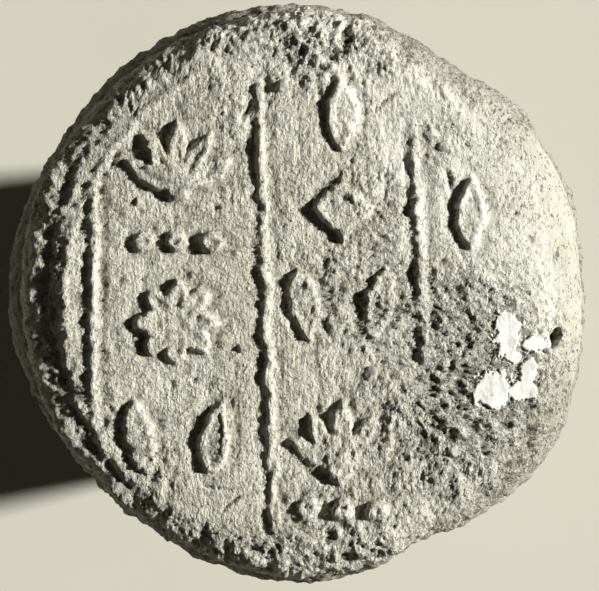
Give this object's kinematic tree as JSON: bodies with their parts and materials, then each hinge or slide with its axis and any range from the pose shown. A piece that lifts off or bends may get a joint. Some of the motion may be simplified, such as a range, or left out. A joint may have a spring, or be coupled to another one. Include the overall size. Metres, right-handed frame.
{
  "type": "funerary cone",
  "caption": "Tapered fired-clay funerary cone standing on its broken tail, with a rolled shoulder and a round stamped face of worn relief, made to be set in a tomb's wall.",
  "frame": {"origin": "centre of the flat break at the tail, on the surface that the cone stands on", "axes": "+Z along the cone's axis towards the stamped face; +Y is the top of the face as it is read, and +X its right side"},
  "size_m": [0.08, 0.08, 0.1512],
  "materials": {
    "core_clay": "coarse, chaff-tempered, broken open",
    "jacket_clay": "wiped by hand, matt",
    "face_clay": "stamped, worn, pitted, matt",
    "plaster": "chalky, flaking",
    "grit": "dull broken grains"
  },
  "bodies": {
    "root": {"clay_core": "core_clay", "flank_jacket": "jacket_clay", "face_pad": "face_clay", "plaster_remains": "plaster", "grit_grains": "grit"}
  },
  "joints": []
}
